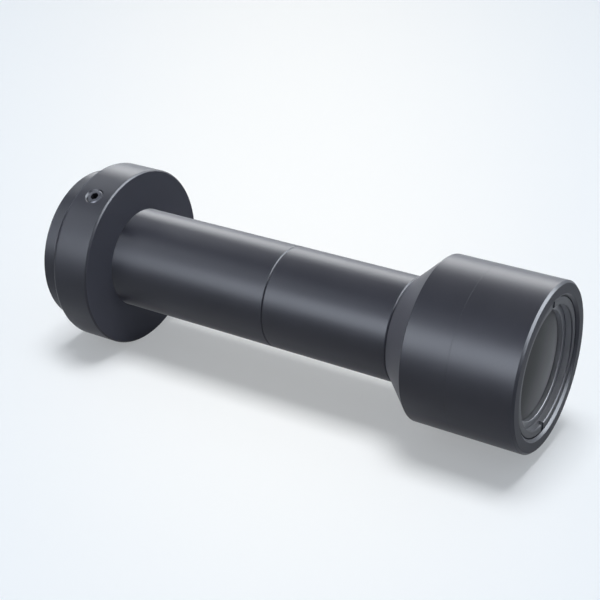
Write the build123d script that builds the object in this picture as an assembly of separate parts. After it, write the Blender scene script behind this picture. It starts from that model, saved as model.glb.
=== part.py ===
from build123d import *
from math import sqrt
import os

# Fixed-focus lens for a camera with a 1 inch, 32 threads per inch mount. Millimetres.
# +X runs along the optical axis from the camera to the front glass, and +Z is up.
# The origin is the centre of the flange plane, the face that seats on the camera.

# Fits and clearances
thread_gap = 0.02
glass_gap = 0.05
contact_gap = 0.02
cement = 0.02
running_gap = 0.05
turning_face_gap = 0.03
neck_end_gap = 0.2

# Camera mount: the camera thread, the flange ring that holds the tube, and a lip behind the tube
camera_thread_diameter = 25.4
camera_thread_length = 3.9
camera_thread_bevel = 0.15
flange_diameter = 29.4
flange_thickness = 6.55
flange_bevel = 0.25
lip_thickness = 1.2
lip_width = 1.3

# Set screws, with the groove that they bear in
screw_count = 3
first_screw_angle = 30
screw_diameter = 2.5
screw_recess = 0.25
screw_tip_radius = 0.25
screw_bevel = 0.15
screw_groove_clearance = 0.07
screw_hole_gap = 0.05
screw_hole_bevel = 0.2
socket_across_flats = 1.3
socket_depth = 1.4
groove_depth = 0.7

# Slim tubes
tube_diameter = 16.3
rear_tube_reach = 28.85
front_tube_length = 21.25
seam_bevel = 0.17
joint_wall = 0.8
joint_length = 3.9
stop_step = 0.4
front_neck_wall = 0.75
baffle_step = 0.35
baffle_seat_depth = 10.9

# Cone housing and front barrel
barrel_diameter = 25.4
cone_length = 4.65
housing_barrel_length = 7.0
housing_wall = 1.2
housing_edge_bevel = 0.17
housing_seat = 0.7
barrel_length = 10.25
barrel_bevel = 0.35
barrel_wall = 2.25
mouth_bevel_width = 0.55
mouth_bevel_depth = 0.38
seat_width = 1.25
seat_thickness = 1.35

# Lens cells: the step from a cell's bore out to the thread of its retaining ring
cell_step = 0.3
ring_thread_run = 1.0

# Retaining rings and their spanner notches
front_ring_width = 1.3
front_ring_thickness = 1.1
pressure_ring_lip = 0.97
pressure_ring_thickness = 0.8
inner_ring_width = 1.1
inner_ring_thickness = 1.7
notch_width = 0.85
notch_depth = 0.75

# Front lens group: a cemented pair, a spacer and a single lens
objective_front_curve = 50.0
objective_cemented_curve = 38.0
objective_rear_curve = 125.0
objective_crown_thickness = 4.6
objective_flint_thickness = 1.85
objective_spacing = 3.0
objective_rear_lens_curve = 50.0
objective_rear_lens_thickness = 2.9
glass_bevel = 0.2
spacer_width = 1.2

# Rear lens group: a single lens, a spacer and a cemented pair
relay_seat_depth = 1.4
relay_seat_width = 0.55
relay_rear_lens_curve = 23.5
relay_rear_lens_thickness = 2.7
relay_spacing = 5.0
relay_spacer_width = 0.75
relay_rear_curve = 46.0
relay_cemented_curve = 20.0
relay_front_curve = 25.0
relay_flint_thickness = 1.5
relay_crown_thickness = 3.5

# Aperture stop and baffle
stop_thickness = 0.4
stop_hole_radius = 2.4
baffle_thickness = 1.0
baffle_lip = 0.9
knife_edge = 0.2

# Stations along the axis
thread_end = -camera_thread_length
lip_front = thread_end + lip_thickness
tube_rear = lip_front + turning_face_gap
screw_plane = flange_thickness / 2
seam = flange_thickness + rear_tube_reach
housing_rear = seam + front_tube_length
cone_end = housing_rear + cone_length
barrel_seam = cone_end + housing_barrel_length
front_face = barrel_seam + barrel_length

# Radii, from the tubes outwards to the mount's bore and inwards to the glass
flange_radius = flange_diameter / 2
tube_radius = tube_diameter / 2
mount_bore = tube_radius + running_gap
mount_wall = flange_radius - mount_bore
groove_radius = tube_radius - groove_depth
joint_radius = tube_radius - joint_wall
stop_bore = joint_radius - stop_step
relay_thread_bore = stop_bore - cell_step
relay_cell_bore = relay_thread_bore - cell_step
relay_lens_radius = relay_cell_bore - glass_gap
barrel_radius = barrel_diameter / 2
barrel_neck_radius = barrel_radius - housing_wall - thread_gap
mouth_radius = barrel_radius - barrel_wall
objective_cell_bore = mouth_radius - cell_step
objective_lens_radius = objective_cell_bore - glass_gap


def sag(curve, radius):
    """How far a glass surface of this curve falls back at this radius."""
    return curve - sqrt(curve**2 - radius**2)


def turned(corners):
    """Solid turned about the optical axis. A corner is its x, its radius and, if it has one, its bevel."""
    outline = []
    for index, (x, radius, *bevel) in enumerate(corners):
        here = Vector(x, radius)
        if not bevel:
            outline.append(here)
            continue
        for neighbour in (corners[index - 1], corners[(index + 1) % len(corners)]):
            towards = Vector(neighbour[0], neighbour[1]) - here
            outline.append(here + towards.normalized() * bevel[0])
    section = make_face(Polyline(*outline, close=True))
    return revolve(section, Axis.X)


def lens(front, thickness, front_curve, rear_curve, radius):
    """Round glass with its front vertex at front. Curves bulge to the front where they are positive."""
    rear = front - thickness
    edges = []
    ends = []
    for vertex, curve in ((front, front_curve), (rear, rear_curve)):
        depth = sag(abs(curve), radius) if curve else 0
        middle_depth = sag(abs(curve), radius / 2) if curve else 0
        side = 1 if curve > 0 else -1
        rim = (vertex - side * depth, radius)
        middle = (vertex - side * middle_depth, radius / 2)
        start = (vertex, 0)
        edges.append(ThreePointArc(start, middle, rim) if curve else Line(start, rim))
        ends.append(rim)
    edges.append(Line(ends[0], ends[1]))
    edges.append(Line((front, 0), (rear, 0)))
    glass = revolve(make_face(Wire(edges)), Axis.X)
    rim_edges = glass.edges().filter_by(GeomType.CIRCLE)
    rim_edges = rim_edges.filter_by(lambda edge: abs(edge.radius - radius) < contact_gap)
    return chamfer(rim_edges, glass_bevel)


def notches(front, inner_radius, outer_radius):
    """Two spanner notches across a retaining ring's front face, at the top and at the bottom."""
    length = outer_radius - inner_radius
    middle = (outer_radius + inner_radius) / 2
    cut = Box(2 * notch_depth, notch_width, 2 * length)
    return [Pos(front, 0, side * middle) * cut for side in (1, -1)]


def retaining_ring(front, thickness, outer_radius, width):
    """Threaded ring with two spanner notches in its front face."""
    inner_radius = outer_radius - width
    rear = front - thickness
    ring = turned([(rear, inner_radius), (rear, outer_radius), (front, outer_radius), (front, inner_radius)])
    return ring - notches(front, inner_radius, outer_radius)


def spacer(rear, front, outer_radius, width):
    """Plain ring between two glasses, whose bore edges bear on them."""
    inner_radius = outer_radius - width
    return turned([(rear, inner_radius), (rear, outer_radius), (front, outer_radius), (front, inner_radius)])


def around(angle):
    """Place of a radial feature on the flange ring: its Z points outwards at this angle from the top."""
    return Pos(screw_plane, 0, 0) * Rot(angle, 0, 0)


# The camera mount is one piece: the thread behind the origin, the flange ring in front of it, and the bore
# that the rear tube turns in. Its front edge and the mouth of its bore are bevelled.
thread_radius = camera_thread_diameter / 2
lip_bore = mount_bore - lip_width
camera_mount = turned([
    (thread_end, lip_bore),
    (thread_end, thread_radius, camera_thread_bevel),
    (0, thread_radius),
    (0, flange_radius, flange_bevel),
    (flange_thickness, flange_radius, flange_bevel),
    (flange_thickness, mount_bore, flange_bevel),
    (lip_front, mount_bore),
    (lip_front, lip_bore),
])
screw_angles = [first_screw_angle + 360 / screw_count * index for index in range(screw_count)]
screw_radius = screw_diameter / 2
hole_radius = screw_radius + screw_hole_gap
countersink_height = 2 * screw_hole_bevel
hole = Pos(0, 0, flange_radius - mount_wall / 2) * Cylinder(hole_radius, 2 * mount_wall)
hole += Pos(0, 0, flange_radius) * Cone(hole_radius, hole_radius + countersink_height, countersink_height)
for angle in screw_angles:
    camera_mount -= around(angle) * hole

# A set screw is a threaded rod with a hexagon socket outside and a cone point in the groove
screw_face = flange_radius - screw_recess
tip = groove_radius + screw_groove_clearance + screw_tip_radius
cone_base = tip + screw_radius - screw_tip_radius
screw_section = Polyline(
    (0, tip),
    (screw_tip_radius, tip),
    (screw_radius, cone_base),
    (screw_radius, screw_face - screw_bevel),
    (screw_radius - screw_bevel, screw_face),
    (0, screw_face),
    close=True,
)
screw = revolve(Plane.XZ * make_face(screw_section), Axis.Z)
hexagon = RegularPolygon(socket_across_flats / 2, 6, major_radius=False)
screw -= Pos(0, 0, screw_face - socket_depth) * extrude(hexagon, socket_depth + screw_bevel)

# The rear tube turns in the mount's bore, held by its groove, and its own bore widens in steps to the seam
rear_bore = relay_cell_bore - relay_seat_width
relay_seat = flange_thickness + relay_seat_depth
relay_bearing = relay_lens_radius - relay_spacer_width
relay_rear_lens_front = relay_seat + relay_rear_lens_thickness
relay_spacer_rear = relay_rear_lens_front - sag(relay_rear_lens_curve, relay_bearing) + contact_gap
relay_spacer_front = relay_spacer_rear + relay_spacing
relay_flint_rear = relay_spacer_front + contact_gap - sag(relay_rear_curve, relay_bearing)
relay_flint_front = relay_flint_rear + relay_flint_thickness
relay_crown_front = relay_flint_front + cement + relay_crown_thickness
relay_crown_edge = relay_crown_front - sag(relay_front_curve, relay_lens_radius)
relay_ring_radius = relay_thread_bore - thread_gap
relay_ring_bearing = sag(relay_front_curve, relay_ring_radius - inner_ring_width)
relay_ring_front = relay_crown_front - relay_ring_bearing + contact_gap + inner_ring_thickness
joint_floor = seam - joint_length - neck_end_gap
stop_ring_front = joint_floor - neck_end_gap
stop_seat = stop_ring_front - inner_ring_thickness - stop_thickness
rear_tube = turned([
    (tube_rear, rear_bore),
    (tube_rear, tube_radius, seam_bevel),
    (screw_plane - groove_depth, tube_radius),
    (screw_plane, groove_radius),
    (screw_plane + groove_depth, tube_radius),
    (seam, tube_radius, seam_bevel),
    (seam, joint_radius),
    (joint_floor, joint_radius),
    (joint_floor, stop_bore),
    (stop_seat, stop_bore),
    (stop_seat, relay_thread_bore),
    (relay_crown_edge - glass_bevel, relay_thread_bore),
    (relay_crown_edge - glass_bevel, relay_cell_bore),
    (relay_seat, relay_cell_bore),
    (relay_seat, rear_bore),
])

# The rear lens group, from the camera side, is pressed against its seat by a threaded ring
relay_rear_lens = lens(
    relay_rear_lens_front, relay_rear_lens_thickness, relay_rear_lens_curve, 0, relay_lens_radius
)
relay_spacer = spacer(relay_spacer_rear, relay_spacer_front, relay_lens_radius, relay_spacer_width)
relay_flint = lens(
    relay_flint_front, relay_flint_thickness, -relay_cemented_curve, -relay_rear_curve, relay_lens_radius
)
relay_crown = lens(
    relay_crown_front, relay_crown_thickness, relay_front_curve, -relay_cemented_curve, relay_lens_radius
)
relay_retaining_ring = retaining_ring(
    relay_ring_front, inner_ring_thickness, relay_ring_radius, inner_ring_width
)

# The aperture stop is a thin disc whose hole is bevelled to a sharp edge on its front side
stop_front = stop_seat + stop_thickness
stop_radius = stop_bore - thread_gap
aperture_stop = turned([
    (stop_seat, stop_hole_radius),
    (stop_seat, stop_radius),
    (stop_front, stop_radius),
    (stop_front, stop_hole_radius + stop_thickness - knife_edge),
    (stop_seat + knife_edge, stop_hole_radius),
])
stop_retaining_ring = retaining_ring(stop_ring_front, inner_ring_thickness, stop_radius, inner_ring_width)

# The front tube has a threaded neck at each end and a shoulder inside for the baffle
neck_radius = joint_radius - thread_gap
front_bore = neck_radius - front_neck_wall
middle_bore = front_bore - baffle_step
baffle_seat = housing_rear - baffle_seat_depth
front_tube = turned([
    (seam - joint_length, middle_bore),
    (seam - joint_length, neck_radius),
    (seam, neck_radius),
    (seam, tube_radius, seam_bevel),
    (housing_rear, tube_radius, seam_bevel),
    (housing_rear, neck_radius),
    (housing_rear + joint_length, neck_radius),
    (housing_rear + joint_length, front_bore),
    (baffle_seat, front_bore),
    (baffle_seat, middle_bore),
])
baffle_front = baffle_seat + baffle_thickness
baffle_opening = middle_bore - baffle_lip
baffle_ring = turned([
    (baffle_seat, baffle_opening),
    (baffle_seat, front_bore - thread_gap),
    (baffle_front, front_bore - thread_gap),
    (baffle_front, middle_bore),
    (baffle_seat + knife_edge, baffle_opening),
])

# The front lens group is worked out from the front face back to the barrel's seat
front_ring_front = front_face - mouth_bevel_depth
pressure_ring_front = front_ring_front - front_ring_thickness
pressure_ring_rear = pressure_ring_front - pressure_ring_thickness
front_ring_radius = mouth_radius - thread_gap
pressure_bore = front_ring_radius - front_ring_width - pressure_ring_lip
objective_bearing = objective_lens_radius - spacer_width
crown_front = pressure_ring_rear + sag(objective_front_curve, pressure_bore) - contact_gap
crown_edge = crown_front - sag(objective_front_curve, objective_lens_radius)
flint_front = crown_front - objective_crown_thickness - cement
flint_rear = flint_front - objective_flint_thickness
spacer_front = flint_rear + sag(objective_rear_curve, objective_bearing) - contact_gap
spacer_rear = spacer_front - objective_spacing
rear_lens_front = spacer_rear + sag(objective_rear_lens_curve, objective_bearing) - contact_gap
objective_seat = rear_lens_front - objective_rear_lens_thickness
barrel_rear = objective_seat - seat_thickness
seat_bore = objective_cell_bore - seat_width
cell_end = crown_edge - ring_thread_run

# The cone housing joins the slim tube to the wide barrel
neck_floor = housing_rear + joint_length + neck_end_gap
barrel_floor = barrel_rear - neck_end_gap
housing_counterbore = barrel_neck_radius + thread_gap
cone_housing = turned([
    (housing_rear, joint_radius),
    (housing_rear, tube_radius, housing_edge_bevel),
    (cone_end, barrel_radius),
    (barrel_seam, barrel_radius),
    (barrel_seam, housing_counterbore),
    (barrel_floor, housing_counterbore),
    (barrel_floor, housing_counterbore - housing_seat),
    (neck_floor, front_bore),
    (neck_floor, joint_radius),
])

# The front barrel screws into the housing and holds the front lens group
front_barrel = turned([
    (barrel_rear, seat_bore),
    (barrel_rear, barrel_neck_radius),
    (barrel_seam, barrel_neck_radius),
    (barrel_seam, barrel_radius),
    (front_face, barrel_radius, barrel_bevel),
    (front_face, mouth_radius + mouth_bevel_width),
    (front_ring_front, mouth_radius),
    (cell_end, mouth_radius),
    (cell_end, objective_cell_bore),
    (objective_seat, objective_cell_bore),
    (objective_seat, seat_bore),
])
objective_rear_lens = lens(
    rear_lens_front,
    objective_rear_lens_thickness,
    objective_rear_lens_curve,
    0,
    objective_lens_radius,
)
objective_spacer = spacer(spacer_rear, spacer_front, objective_lens_radius, spacer_width)
objective_flint = lens(
    flint_front,
    objective_flint_thickness,
    -objective_cemented_curve,
    -objective_rear_curve,
    objective_lens_radius,
)
objective_crown = lens(
    crown_front,
    objective_crown_thickness,
    objective_front_curve,
    -objective_cemented_curve,
    objective_lens_radius,
)
pressure_ring = spacer(
    pressure_ring_rear, pressure_ring_front, front_ring_radius, front_ring_radius - pressure_bore
)
front_retaining_ring = retaining_ring(
    front_ring_front, front_ring_thickness, front_ring_radius, front_ring_width
)

pieces = {
    "camera_mount": camera_mount,
    "rear_tube": rear_tube,
    "relay_rear_lens": relay_rear_lens,
    "relay_spacer": relay_spacer,
    "relay_flint": relay_flint,
    "relay_crown": relay_crown,
    "relay_retaining_ring": relay_retaining_ring,
    "aperture_stop": aperture_stop,
    "stop_retaining_ring": stop_retaining_ring,
    "front_tube": front_tube,
    "baffle_ring": baffle_ring,
    "cone_housing": cone_housing,
    "front_barrel": front_barrel,
    "objective_rear_lens": objective_rear_lens,
    "objective_spacer": objective_spacer,
    "objective_flint": objective_flint,
    "objective_crown": objective_crown,
    "pressure_ring": pressure_ring,
    "front_retaining_ring": front_retaining_ring,
}
for number, angle in enumerate(screw_angles, 1):
    pieces[f"set_screw_{number}"] = around(angle) * screw

os.makedirs("parts", exist_ok=True)
for name, piece in pieces.items():
    export_step(piece, f"parts/{name}.step")
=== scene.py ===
from math import cos, pi, radians, sin

import bmesh
import bpy
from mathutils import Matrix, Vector


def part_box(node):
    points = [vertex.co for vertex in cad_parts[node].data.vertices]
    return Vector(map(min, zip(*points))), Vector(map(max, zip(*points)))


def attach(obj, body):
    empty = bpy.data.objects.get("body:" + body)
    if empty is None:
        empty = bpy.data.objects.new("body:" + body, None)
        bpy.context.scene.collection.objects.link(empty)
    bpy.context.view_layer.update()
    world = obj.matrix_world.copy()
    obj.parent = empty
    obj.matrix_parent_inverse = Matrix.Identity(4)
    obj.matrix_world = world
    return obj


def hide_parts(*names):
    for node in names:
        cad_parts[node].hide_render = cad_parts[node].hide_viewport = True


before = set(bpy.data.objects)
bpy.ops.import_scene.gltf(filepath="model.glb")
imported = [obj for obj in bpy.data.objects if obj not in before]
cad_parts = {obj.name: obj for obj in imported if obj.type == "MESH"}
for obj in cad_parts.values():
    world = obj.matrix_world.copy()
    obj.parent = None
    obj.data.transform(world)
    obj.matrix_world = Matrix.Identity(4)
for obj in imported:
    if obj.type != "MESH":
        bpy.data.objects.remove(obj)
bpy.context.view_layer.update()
scene = bpy.context.scene
scene.view_settings.view_transform = "Standard"
MM = 0.001

# Camera. The lens lies with its front glass turned to the viewer's right. It is seen from in front and a
# little above, from a fifth of a metre away, through a short telephoto.
camera_place = Vector((134.21, -155.94, 90.04)) * MM
camera_aim = Vector((-0.47429, 0.76239, -0.44024))
camera_turn = camera_aim.to_track_quat("-Z", "Y").to_euler()
bpy.ops.object.camera_add(location=camera_place, rotation=camera_turn)
camera = bpy.context.object
camera.name = "camera"
camera.data.lens = 79.1
camera.data.sensor_width = 36
camera.data.clip_start = 0.01
scene.camera = camera


# Floor. A smooth matt sheet with a painted pool of light on it, white under the lens and fading to a pale
# blue further out. The lens lies on its flange ring, the widest piece, so the floor touches the ring's
# lowest line. Part of its white is a glow for the camera, the gloss and the glass alone, which keeps the
# shadow light without more light on the lens.
class Signal:
    """An output in one tree of shader nodes. Arithmetic on signals adds Math nodes."""

    def __init__(self, tree, socket=None):
        self.tree = tree
        self.socket = socket

    def node(self, kind, settings, inputs, output=0):
        """Adds a node. Its settings are set first, then its sockets take values or links."""
        made = self.tree.nodes.new(kind)
        for name, value in settings.items():
            setattr(made, name, value)
        for name, value in inputs.items():
            if isinstance(value, Signal):
                self.tree.links.new(value.socket, made.inputs[name])
            else:
                made.inputs[name].default_value = value
        return Signal(self.tree, made.outputs[output] if made.outputs else None)

    def math(self, operation, *values):
        return self.node("ShaderNodeMath", {"operation": operation}, dict(enumerate(values)))

    def __add__(self, other):
        return self.math("ADD", self, other)

    def __radd__(self, other):
        return self.math("ADD", other, self)

    def __sub__(self, other):
        return self.math("SUBTRACT", self, other)

    def __rsub__(self, other):
        return self.math("SUBTRACT", other, self)

    def __mul__(self, other):
        return self.math("MULTIPLY", self, other)

    def __rmul__(self, other):
        return self.math("MULTIPLY", other, self)

    def __truediv__(self, other):
        return self.math("DIVIDE", self, other)

    def __pow__(self, other):
        return self.math("POWER", self, other)

    def at_least(self, low):
        return self.math("MAXIMUM", self, low)

    def at_most(self, high):
        return self.math("MINIMUM", self, high)

    def between(self, low, high):
        """Rises smoothly from 0 at low to 1 at high."""
        ends = {"Value": self, "From Min": low, "From Max": high}
        return self.node("ShaderNodeMapRange", {"interpolation_type": "SMOOTHSTEP"}, ends)

    def blend(self, first, second):
        """The first colour where this is 0 and the second where it is 1. A Mix node takes its colours at
        sockets 6 and 7, and gives the mixed one at 2."""
        return self.node("ShaderNodeMix", {"data_type": "RGBA"}, {0: self, 6: first, 7: second}, 2)

    def shader(self, sockets):
        return self.node("ShaderNodeBsdfPrincipled", {}, sockets)

    def mix_shaders(self, share, first, second):
        """The first shader where the share is 0 and the second where it is 1."""
        return self.node("ShaderNodeMixShader", {}, {0: share, 1: first, 2: second})

    def noise(self, sockets, settings=None):
        return self.node("ShaderNodeTexNoise", settings or {}, sockets)

    def object_point(self):
        return self.node("ShaderNodeTexCoord", {}, {}, "Object")


def new_material(name):
    """An empty material, and a start for its nodes."""
    material = bpy.data.materials.new(name)
    material.use_nodes = True
    material.node_tree.nodes.clear()
    return material, Signal(material.node_tree)


def place_on_object(start, turn=0, centre=(0, 0, 0)):
    """The three coordinates of a surface point in millimetres, seen from a centre after a turn about Z."""
    shift = {"Vector": start.object_point(), "Location": centre}
    moved = start.node("ShaderNodeMapping", {"vector_type": "TEXTURE"}, shift)
    turned_round = {"Vector": moved, "Rotation": (0, 0, -turn), "Scale": (1 / MM, 1 / MM, 1 / MM)}
    scaled = start.node("ShaderNodeMapping", {"vector_type": "POINT"}, turned_round)
    return [start.node("ShaderNodeSeparateXYZ", {}, {"Vector": scaled}, axis) for axis in "XYZ"]


def what_shows(start):
    """1 for rays from the camera and from gloss or glass, and 0 for rays from matt surfaces."""
    rays = ("Is Camera Ray", "Is Glossy Ray", "Is Transmission Ray")
    return sum(start.node("ShaderNodeLightPath", {}, {}, ray) for ray in rays).at_most(1)


floor_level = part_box("camera_mount")[0].z
floor_size = 4
bpy.ops.object.select_all(action="DESELECT")
bpy.ops.mesh.primitive_grid_add(
    x_subdivisions=8, y_subdivisions=8, size=floor_size, location=(0, 0, floor_level)
)
bpy.ops.object.transform_apply(location=True)
floor = bpy.context.object
floor.name = floor.data.name = "studio_floor"

# The white is a painted pool of light round the lens, measured in millimetres across the view and away
# from the viewer. It widens as it goes away, where it also fades far more slowly than in front.
painted_light_pool_centre = (34 * MM, 5 * MM, 0)
painted_light_pool_turn = radians(31.9)
painted_light_pool_least_width = 40
painted_light_pool_far_reach = 800
painted_light_pool_near_reach = 85
painted_pool_white = (0.97, 0.985, 0.992, 1)
floor_blue = (0.85, 0.90, 0.955, 1)
floor_glow = 0.33
floor_paint, start = new_material("pale_floor")
across, away, up = place_on_object(start, painted_light_pool_turn, painted_light_pool_centre)
painted_light_pool_width = (55 + 0.18 * away).at_least(painted_light_pool_least_width)
far = away.at_least(0) / painted_light_pool_far_reach
near = away.at_most(0) / painted_light_pool_near_reach
spread = ((across / painted_light_pool_width) ** 2 + far * far + near * near) ** 0.5
tooth = start.noise({"Vector": start.object_point(), "Scale": 900, "Detail": 3})
colour = spread.between(0.1, 1.25).blend(painted_pool_white, floor_blue)
sheet = start.shader({"Base Color": colour, "Roughness": 0.82 + 0.08 * tooth, "Specular IOR Level": 0})
glow = start.shader({
    "Base Color": (0, 0, 0, 1), "Specular IOR Level": 0, "Emission Color": colour, "Emission Strength": 1,
})
surface = start.mix_shaders(floor_glow * what_shows(start), sheet, glow)
start.node("ShaderNodeOutputMaterial", {}, {"Surface": surface})
floor.data.materials.append(floor_paint)

# Studio. A pale room fills the shadows a little, and a lamp overhead draws them. Cards that only the gloss
# sees stand behind, on the left and in front for the long highlights, and on the right for the fine bright
# lines on the edges that face forwards.
room_colour = (0.80, 0.88, 1.0, 1)
fill_colour = (0.93, 0.97, 1.0, 1)
fill_level = 0.30
world = bpy.data.worlds.new("studio")
world.use_nodes = True
world.node_tree.nodes.clear()
scene.world = world
start = Signal(world.node_tree)
room = start.node("ShaderNodeBackground", {}, {"Color": room_colour, "Strength": 1})
fill = start.node("ShaderNodeBackground", {}, {"Color": fill_colour, "Strength": fill_level})
surroundings = start.mix_shaders(what_shows(start), fill, room)
start.node("ShaderNodeOutputWorld", {}, {"Surface": surroundings})

lens_middle = Vector((37 * MM, 0, 0))
white = (1, 1, 1)
cool_white = (0.87, 0.935, 1)


def soft_light(name, direction, distance, size, brightness, tint, matt):
    """A flat white lamp or card of a given brightness, turned to the lens. It is either a lamp, which lights
    matt surfaces alone, or a card, which shows in gloss alone."""
    place = lens_middle + distance * Vector(direction).normalized()
    turn = (lens_middle - place).to_track_quat("-Z", "Y").to_euler()
    bpy.ops.object.light_add(type="AREA", location=place, rotation=turn)
    light = bpy.context.object
    light.name = light.data.name = name
    light.data.shape = "RECTANGLE"
    light.data.size, light.data.size_y = size
    light.data.color = tint
    light.data.energy = brightness * pi * size[0] * size[1]
    light.visible_camera = False
    light.visible_diffuse = matt
    light.visible_glossy = not matt
    light.visible_transmission = False


soft_light("overhead_lamp", (0, 0, 1), 1, (0.42, 0.42), 13.9, white, matt=True)
soft_light("back_card", (-0.20, 0.84, 0.46), 1.4, (1.58, 0.60), 8.3, (0.97, 0.985, 1), matt=False)
soft_light("side_card", (-0.72, 0.28, 0.63), 1.2, (0.35, 0.4), 5.5, (0.90, 0.95, 1), matt=False)
soft_light("left_card", (-0.64, -0.42, 0.64), 1.2, (0.55, 0.55), 5, cool_white, matt=False)
soft_light("front_card", (-0.14, -0.93, 0.355), 1, (1.1, 0.50), 18, cool_white, matt=False)
soft_light("right_card", (0.74, 0.33, 0.61), 1.1, (1.3, 1.1), 30, cool_white, matt=False)

# Camera mount. Turned from one bar of aluminium and anodised black: the camera thread and its relief groove,
# the flange ring that seats on the camera, and the bore that holds the tube. Three tapped and countersunk
# holes stand a third of a turn apart in the ring.
edge_break = 0.04 * MM
round_steps = 192
same_place = 1e-6


def take_up(piece):
    """Selects one piece alone, as the piece in hand."""
    bpy.ops.object.select_all(action="DESELECT")
    piece.select_set(True)
    bpy.context.view_layer.objects.active = piece


def pick(test):
    """Selects the vertices of the piece in hand that pass a test, and no others."""
    mesh = bmesh.from_edit_mesh(bpy.context.object.data)
    for vertex in mesh.verts:
        vertex.select_set(False)
    for vertex in mesh.verts:
        vertex.select_set(test(vertex.co))
    mesh.select_flush_mode()
    bmesh.update_edit_mesh(bpy.context.object.data)


def traced(name, points, size):
    """A line of edges through some points, left in edit mode and selected. It grows from a plane of a given
    size that is merged into the first point."""
    bpy.ops.object.select_all(action="DESELECT")
    bpy.ops.mesh.primitive_plane_add(size=size, location=points[0])
    bpy.ops.object.transform_apply(location=True)
    piece = bpy.context.object
    piece.name = piece.data.name = name
    bpy.ops.object.mode_set(mode="EDIT")
    bpy.ops.mesh.merge(type="CENTER")
    for here, there in zip(points, points[1:]):
        step = tuple(after - before for before, after in zip(here, there))
        bpy.ops.mesh.extrude_vertices_move(TRANSFORM_OT_translate={"value": step})
    bpy.ops.mesh.select_all(action="SELECT")
    bpy.ops.mesh.remove_doubles(threshold=same_place)
    return piece


def turned(name, corners, steps=round_steps, edge=edge_break):
    """A piece turned about the X axis. A corner is its x, its radius and, if it has one, its chamfer, in
    millimetres. The chamfers are cut on the outline, its edges are broken, and then it is spun round."""
    corners = [tuple(value * MM for value in corner) for corner in corners]
    outline = [(corner[0], 0, corner[1]) for corner in corners]
    solid = any(corner[1] == 0 for corner in corners)
    if not solid:
        outline.append(outline[0])
    piece = traced(name, outline, MM)
    for chamfer in sorted({corner[2] for corner in corners if len(corner) > 2}):
        cut = [Vector((x, 0, radius)) for x, radius, *rest in corners if rest == [chamfer]]
        pick(lambda point: any((point - corner).length < same_place for corner in cut))
        bpy.ops.mesh.bevel(offset=chamfer, segments=1, affect="VERTICES")
    pick(lambda point: point.z > same_place)
    bpy.ops.mesh.bevel(offset=edge, segments=3, affect="VERTICES")
    bpy.ops.mesh.select_all(action="SELECT")
    bpy.ops.mesh.spin(steps=steps, angle=2 * pi, use_auto_merge=True, center=(0, 0, 0), axis=(1, 0, 0))
    bpy.ops.mesh.select_all(action="SELECT")
    bpy.ops.mesh.remove_doubles(threshold=same_place)
    bpy.ops.mesh.normals_make_consistent(inside=False)
    bpy.ops.object.mode_set(mode="OBJECT")
    return piece


def cut_away(piece, cutter):
    """Cuts one shape from a piece, and removes the cutter."""
    take_up(piece)
    cut = piece.modifiers.new("cut", "BOOLEAN")
    cut.operation = "DIFFERENCE"
    cut.solver = "EXACT"
    cut.object = cutter
    bpy.ops.object.modifier_apply(modifier="cut")
    bpy.data.objects.remove(cutter)


def finish(piece, material, slot, body, *nodes):
    """Smooths a piece up to its edges, gives it its material and its body, and hides the nodes it stands
    for.
    """
    take_up(piece)
    bpy.ops.object.shade_smooth_by_angle(angle=radians(32))
    even = piece.modifiers.new("even_shading", "WEIGHTED_NORMAL")
    even.keep_sharp = True
    bpy.ops.object.modifier_apply(modifier="even_shading")
    piece.data.materials.clear()
    piece.data.materials.append(material)
    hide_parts(*nodes)
    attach(piece, body)


def turned_finish(name, base, deep, roughness, depth, gloss, faced=None, dull=0, other=None):
    """A turned and dyed surface: feed lines that follow the turning, a fine tooth, and faint clouding. It
    may have a stretch between two stations along the axis in another colour and with a dull share. Where
    that colour is paler than the dye, it is painted light."""
    material, start = new_material(name)
    x, y, z = place_on_object(start)
    along = x + (y * y + z * z) ** 0.5
    lines = start.noise({"W": along, "Scale": 9, "Detail": 2}, {"noise_dimensions": "1D"})
    fine = start.noise({"W": along, "Scale": 31, "Detail": 1}, {"noise_dimensions": "1D"})
    point = start.object_point()
    grain = start.noise({"Vector": point, "Scale": 16000, "Detail": 2})
    cloud = start.noise({"Vector": point, "Scale": 130, "Detail": 4})
    height = 0.6 * lines + 0.3 * fine + 0.25 * grain
    relief = start.node("ShaderNodeBump", {}, {"Strength": 1, "Distance": depth, "Height": height})
    colour = (0.5 * cloud + 0.5 * grain).between(0.3, 0.7).blend(deep, base)
    rough = roughness + 0.05 * (cloud - 0.5) + 0.06 * (lines - 0.5) + 0.04 * (grain - 0.5)
    # The stretch's other colour is painted light where it is paler than the dye.
    if faced:
        low, high = faced
        soft_end = 0.05
        stretch_share = x.between(low, low + soft_end) * (1 - x.between(high - soft_end, high))
        colour = stretch_share.blend(colour, other)
    sockets = {"Base Color": colour, "Roughness": rough, "Normal": relief, "Specular IOR Level": gloss}
    surface = start.shader(sockets)
    if faced:
        sockets["Specular IOR Level"] = 0
        surface = start.mix_shaders(dull * stretch_share, surface, start.shader(sockets))
    start.node("ShaderNodeOutputMaterial", {}, {"Surface": surface})
    return material


dye = (0.0208, 0.0212, 0.0305, 1)
deep_dye = (0.017, 0.0174, 0.0255, 1)
feed_depth = 0.0012 * MM
black_roughness = 0.37
black_gloss = 0.175


def black_finish(name, **stretch_settings):
    """The black anodising of the tubes and barrels, with or without a duller stretch in another colour."""
    return turned_finish(name, dye, deep_dye, black_roughness, feed_depth, black_gloss, **stretch_settings)


black_anodising = black_finish("black_anodising")
# The flange ring's front face is painted paler: painted light that evens out the face where the tube's dark
# reflection falls on it. Most of its gloss is taken away.
faced_mount = black_finish(
    "black_anodising_faced_mount", faced=(6.5, 7), dull=0.8, other=(0.070, 0.072, 0.092, 1)
)

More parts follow.
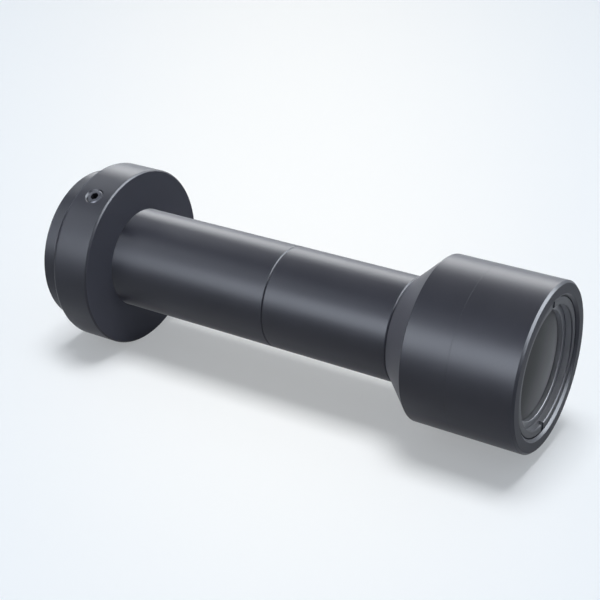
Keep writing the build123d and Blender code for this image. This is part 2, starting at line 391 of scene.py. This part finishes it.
camera_mount = turned("visual_camera_mount", [
    (-3.9, 6.9), (-3.9, 12.7, 0.15), (-1.75, 12.7), (-1.5, 12.45), (0, 12.45), (0, 14.6), (0.3, 14.7),
    (6.55, 14.7, 0.25), (6.55, 8.2), (-2.7, 8.2), (-2.7, 6.9),
])
screw_plane = (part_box("set_screw_3")[0].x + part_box("set_screw_3")[1].x) / 2
screw_angles = [30, 150, 270]
hole_steps = 64
hole_radius = 1.3
sink_start = 14.42
sink_end = 15.1
sink_radius = 1.98
for angle in screw_angles:
    drill = turned("drill", [
        (6, 0), (6, hole_radius), (sink_start, hole_radius), (sink_end, sink_radius), (sink_end, 0),
    ], steps=hole_steps, edge=0)
    drill.rotation_euler = (0, -pi / 2, 0)
    bpy.ops.object.transform_apply(rotation=True)
    drill.rotation_euler = (radians(angle), 0, 0)
    drill.location.x = screw_plane
    bpy.ops.object.transform_apply()
    cut_away(camera_mount, drill)
finish(camera_mount, faced_mount, "black_anodised_aluminium", "camera_mount", "camera_mount")
# The mount is kept out of the gloss of the other pieces, so that the tube's highlights run right up to it.
camera_mount.visible_glossy = False


# Set screws. Three M2.5 screws of blackened steel with a hexagon socket and a cone point, screwed through
# the ring until their points bear in the groove of the tube. They end just below the ring's rim.
def thread_cutter(root_radius, pitch, start_x, turns, steps):
    """A V-shaped thread in the air, which leaves the grooves of a thread where it is cut from a blank."""
    half_width = 0.48 * pitch
    height = half_width / sin(radians(30)) * cos(radians(30))
    root = (start_x, 0, root_radius)
    brims = [(start_x + side * half_width, 0, root_radius + height) for side in (1, -1)]
    cutter = traced("thread_cutter", [root, *brims, root], MM / 10)
    bpy.ops.object.mode_set(mode="OBJECT")
    helix = cutter.modifiers.new("helix", "SCREW")
    helix.axis = "X"
    helix.screw_offset = pitch
    helix.iterations = turns
    helix.steps = helix.render_steps = steps
    bpy.ops.object.modifier_apply(modifier="helix")
    bpy.ops.object.mode_set(mode="EDIT")
    bpy.ops.mesh.select_all(action="SELECT")
    bpy.ops.mesh.remove_doubles(threshold=same_place / 10)
    bpy.ops.mesh.fill_holes(sides=3)
    bpy.ops.mesh.normals_make_consistent(inside=False)
    bpy.ops.object.mode_set(mode="OBJECT")
    return cutter


black_oxide, start = new_material("black_oxide_steel")
point = start.object_point()
bloom = start.noise({"Vector": point, "Scale": 900, "Detail": 4})
speck = start.noise({"Vector": point, "Scale": 9000, "Detail": 2})
relief = {"Strength": 1, "Distance": 0.003 * MM, "Height": bloom + 0.5 * speck}
oxide = start.shader({
    "Base Color": bloom.between(0.35, 0.7).blend((0.034, 0.034, 0.040, 1), (0.058, 0.058, 0.066, 1)),
    "Roughness": 0.36 + 0.16 * (bloom - 0.5) + 0.1 * (speck - 0.5),
    "Metallic": 0.8,
    "Normal": start.node("ShaderNodeBump", {}, relief),
})
start.node("ShaderNodeOutputMaterial", {}, {"Surface": oxide})

screw_radius = 1.25
screw_pitch = 0.45 * MM
thread_depth = 0.6134 * screw_pitch
thread_root = screw_radius * MM - thread_depth
thread_start = 8.1 * MM
thread_turns = 15
first_screw = turned("visual_set_screw_1", [
    (7.77, 0), (7.77, 0.25), (8.77, screw_radius), (14.6, screw_radius, 0.1), (14.6, 0),
], steps=hole_steps, edge=0.03 * MM)
cut_away(first_screw, thread_cutter(thread_root, screw_pitch, thread_start, thread_turns, hole_steps))

# The socket is a hexagon cylinder with a shallow cone at its floor, cut along Z and then laid along X.
socket_half_flats = 0.62 * MM
socket_radius = socket_half_flats / cos(radians(30))
socket_depth = 2.0 * MM
socket_middle = 14.2 * MM
socket_cone = 0.25 * MM
bpy.ops.object.select_all(action="DESELECT")
bpy.ops.mesh.primitive_cylinder_add(
    vertices=6, radius=socket_radius, depth=socket_depth, location=(0, 0, socket_middle)
)
socket = bpy.context.object
bpy.ops.object.transform_apply(location=True)
bpy.ops.object.mode_set(mode="EDIT")
pick(lambda point: point.z < socket_middle)
bpy.ops.mesh.extrude_region_move(TRANSFORM_OT_translate={"value": (0, 0, -socket_cone)})
bpy.ops.transform.resize(value=(0.1, 0.1, 1), center_override=(0, 0, 0))
bpy.ops.object.mode_set(mode="OBJECT")
socket.rotation_euler = (0, pi / 2, 0)
bpy.ops.object.transform_apply(rotation=True)
cut_away(first_screw, socket)

# The first screw is stood on end and copied twice, and then each is turned round the axis to its own hole.
first_screw.rotation_euler = (0, -pi / 2, 0)
bpy.ops.object.transform_apply(rotation=True)
screws = [first_screw]
for number in (2, 3):
    screw = first_screw.copy()
    screw.data = first_screw.data.copy()
    screw.name = screw.data.name = f"visual_set_screw_{number}"
    scene.collection.objects.link(screw)
    screws.append(screw)
for number, (screw, angle) in enumerate(zip(screws, screw_angles), 1):
    take_up(screw)
    screw.location.x = screw_plane
    screw.rotation_euler.x = radians(angle)
    bpy.ops.object.transform_apply()
    node = f"set_screw_{number}"
    finish(screw, black_oxide, "black_oxide_steel", node, node)

# Rear tube. A slim aluminium tube, bored in steps, that turns in the mount's bore, where the screws' points
# stand in its groove. Its front edge is chamfered, as is the next tube's, so a fine line marks the joint.
tube_radius = 8.15
tube_joint = 35.4
rear_tube = turned("visual_rear_tube", [
    (-2.67, 5.8), (-2.67, tube_radius, 0.17), (2.575, tube_radius), (3.275, 7.45), (3.975, tube_radius),
    (tube_joint, tube_radius, 0.22), (tube_joint, 7.35), (31.3, 7.35), (31.3, 6.95), (29, 6.95),
    (29, 6.65), (18.7, 6.65), (18.7, 6.35), (7.95, 6.35), (7.95, 5.8),
])
finish(rear_tube, black_anodising, "black_anodised_aluminium", "lens", "rear_tube")

# Rear lens group and stop. The rings, spacers, baffle and thin stop are aluminium, left with a coarse ridged
# surface and dyed dead black, so that they swallow stray light. The glasses are polished and coated, with
# black edges.
dead_black = turned_finish(
    "dead_black_dye", (0.010, 0.010, 0.011, 1), (0.006, 0.006, 0.007, 1), 0.62, 0.01 * MM, 0.25
)
black_rings = (
    "relay_spacer", "relay_retaining_ring", "aperture_stop", "stop_retaining_ring",
    "baffle_ring", "objective_spacer",
)
for node in black_rings:
    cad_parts[node].material_slots[0].material = dead_black


def coated_glass(name, edge_radius, clear, bend, haze_and_painted_sheen):
    """Polished and coated glass, as clear, as strong in its bend and as hazy as it is given. The hazier it
    is, the more a painted grey reflection shows on it at glancing angles. The ground edge is lacquered
    black, and so is the little bevel beside it."""
    material, start = new_material(name)
    x, y, z = place_on_object(start)
    radius = (y * y + z * z) ** 0.5
    point = start.object_point()
    film = start.noise({"Vector": point, "Scale": 90, "Detail": 2})
    ground = start.noise({"Vector": point, "Scale": 7000, "Detail": 3})
    painted_sheen_glance = start.node("ShaderNodeLayerWeight", {}, {}, "Facing").between(0.62, 0.95)
    polished = start.shader({
        "Base Color": film.blend((0.95 * clear, clear, clear, 1), (clear, clear, clear, 1)),
        "Roughness": 0.5 * haze_and_painted_sheen + 0.02 * film,
        "IOR": bend,
        "Transmission Weight": 1 - haze_and_painted_sheen,
    })
    # The grey bloom is painted reflection: a pale matt grey that takes over from the glass at glancing
    # angles.
    bloom = start.shader({
        "Base Color": film.blend((0.30, 0.30, 0.31, 1), (0.33, 0.33, 0.34, 1)),
        "Roughness": 0.6 + 0.1 * film,
        "Specular IOR Level": 0,
    })
    lacquer = start.shader({
        "Base Color": ground.blend((0.006, 0.006, 0.006, 1), (0.014, 0.014, 0.014, 1)),
        "Roughness": 0.45 + 0.2 * ground,
        "Normal": start.node("ShaderNodeBump", {}, {"Distance": 0.004 * MM, "Height": ground}),
    })
    face = start.mix_shaders(haze_and_painted_sheen * painted_sheen_glance, polished, bloom)
    lacquered = radius.between(edge_radius - 0.24, edge_radius - 0.2)
    surface = start.mix_shaders(lacquered, face, lacquer)
    start.node("ShaderNodeOutputMaterial", {}, {"Surface": surface})
    return material


rear_glass = coated_glass("coated_rear_glass", edge_radius=6.3, clear=0.9, bend=1.2, haze_and_painted_sheen=0)
for node in ("relay_rear_lens", "relay_flint", "relay_crown"):
    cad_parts[node].material_slots[0].material = rear_glass

# Front tube. The same stock as the rear tube, with a threaded neck at each end: one screws into the rear
# tube and the other into the cone housing.
neck_radius = 7.33
cone_foot = 56.65
front_tube = turned("visual_front_tube", [
    (31.5, 6.23), (31.5, neck_radius), (tube_joint, neck_radius), (tube_joint, tube_radius, 0.1),
    (56.33, tube_radius), (cone_foot, 7.93), (cone_foot, neck_radius), (60.55, neck_radius),
    (60.55, 6.58), (45.75, 6.58), (45.75, 6.23),
])
finish(front_tube, black_anodising, "black_anodised_aluminium", "lens", "front_tube")

# Cone housing. One turned piece of aluminium whose cone opens from the slim tube to the wide barrel. It
# carries on as the barrel's rear part, as far as the faint joint line. The cone itself is painted paler, as
# painted light that lifts its tone, and is a little duller.
fine_edge = 0.02 * MM
barrel_radius = 12.7
barrel_joint = 68.3
cone_housing = turned("visual_cone_housing", [
    (cone_foot, 7.35), (cone_foot, tube_radius), (61.3, barrel_radius), (barrel_joint, barrel_radius),
    (barrel_joint, 11.5), (64.08, 11.5), (64.08, 10.8), (60.75, 6.58), (60.75, 7.35),
], edge=fine_edge)
faced_cone = black_finish(
    "black_anodising_faced_cone", faced=(56.72, 61.25), dull=0.1, other=(0.085, 0.086, 0.102, 1)
)
finish(cone_housing, faced_cone, "black_anodised_aluminium", "lens", "cone_housing")

# Front barrel. Screws into the cone housing with hardly a gap, and holds the front glasses. Its mouth is
# bored in steps behind a wide flat rim with a chamfer outside and a sloping lip inside.
lip_end = 78.17
mouth_bore = 10.45
front_barrel = turned("visual_front_barrel", [
    (64.28, 8.9), (64.28, 11.48), (barrel_joint, 11.48), (barrel_joint, barrel_radius),
    (78.55, barrel_radius, 0.35), (78.55, 10.87), (lip_end, mouth_bore), (74.89, mouth_bore),
    (74.89, 10.15), (65.63, 10.15), (65.63, 8.9),
], edge=fine_edge)
faced_rim = black_finish("black_anodising_faced_rim", faced=(78.5, 79), dull=0.45, other=dye)
finish(front_barrel, faced_rim, "black_anodised_aluminium", "lens", "front_barrel")

# Front glasses. A cemented pair with a domed front and a single glass behind it, kept apart by a spacer.
# They are polished and coated, with black edges.
front_radius = 10.1
front_glass = coated_glass("coated_front_glass", edge_radius=front_radius, clear=0.5, bend=1.2, haze_and_painted_sheen=0)
for node in ("objective_rear_lens", "objective_flint"):
    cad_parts[node].material_slots[0].material = front_glass

# Domed front glass. The crown of the cemented pair, ground to two bowed faces with a small bevel round each
# rim. Its front coating is so dark and soft that the dome looks like smoked glass, and a painted grey
# reflection spreads over its sides at glancing angles.
dome_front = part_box("objective_crown")[1].x / MM
dome_rear = dome_front - 4.6
front_curve = 50
rear_curve = 38
dome_bevel = 0.2
ring_count = 24
rings = [(front_radius - dome_bevel) * step / ring_count for step in range(ring_count + 1)]
front_face = [(dome_front - front_curve + (front_curve ** 2 - ring ** 2) ** 0.5, ring) for ring in rings]
rear_face = [(dome_rear + rear_curve - (rear_curve ** 2 - ring ** 2) ** 0.5, ring) for ring in rings]
rim = [(rear_face[-1][0] + dome_bevel, front_radius), (front_face[-1][0] - dome_bevel, front_radius)]
dome = turned("visual_objective_crown", rear_face + rim + front_face[::-1], edge=0)
dome_glass = coated_glass(
    "coated_dome_glass", edge_radius=front_radius, clear=0.015, bend=1.18, haze_and_painted_sheen=0.95
)
finish(dome, dome_glass, "coated_glass", "lens", "objective_crown")

# Pressure ring and retaining ring. A plain ring, painted grey as painted light that lifts the shade deep
# in the mouth, bears on the dome's edge. A threaded ring with two spanner notches, nearly as dark as the
# barrel, presses it home. Their bores are painted paler still, as painted light on walls in shade, and are
# duller.
ring_radius = 10.43
ring_joint = 77.07
# Painted light: the grey of the pressure ring and the paler grey of both bores lift the shade in the mouth.
painted_light_wall_grey = (0.19, 0.193, 0.21, 1)
painted_light_grey = turned_finish(
    "painted_light_grey", (0.105, 0.107, 0.12, 1), (0.09, 0.092, 0.105, 1), 0.4, feed_depth, 0.4,
    faced=(76.3, 76.9), dull=0.5, other=painted_light_wall_grey,
)
slate_anodising_painted_light_bore = turned_finish(
    "slate_anodising_painted_light_bore", (0.028, 0.029, 0.038, 1), (0.023, 0.024, 0.032, 1), black_roughness, feed_depth, 0.15,
    faced=(77.1, 78.0), dull=0.5, other=painted_light_wall_grey,
)
pressure_ring = turned("visual_pressure_ring", [
    (76.27, 8.16), (76.27, ring_radius), (ring_joint, ring_radius), (ring_joint, 8.16, 0.07),
])
finish(pressure_ring, painted_light_grey, "black_anodised_aluminium", "lens", "pressure_ring")
retaining_ring = turned("visual_front_retaining_ring", [
    (ring_joint, 9.13), (ring_joint, ring_radius), (lip_end, ring_radius, 0.2), (lip_end, 9.13, 0.15),
])
notch_middle = 9.78 * MM
notch_size = (1.5, 0.85, 2.6)
for side in (1, -1):
    notch_place = (lip_end * MM, 0, side * notch_middle)
    bpy.ops.object.select_all(action="DESELECT")
    bpy.ops.mesh.primitive_cube_add(size=MM, location=notch_place, scale=notch_size)
    bpy.ops.object.transform_apply()
    cut_away(retaining_ring, bpy.context.object)
finish(retaining_ring, slate_anodising_painted_light_bore, "black_anodised_aluminium", "lens", "front_retaining_ring")
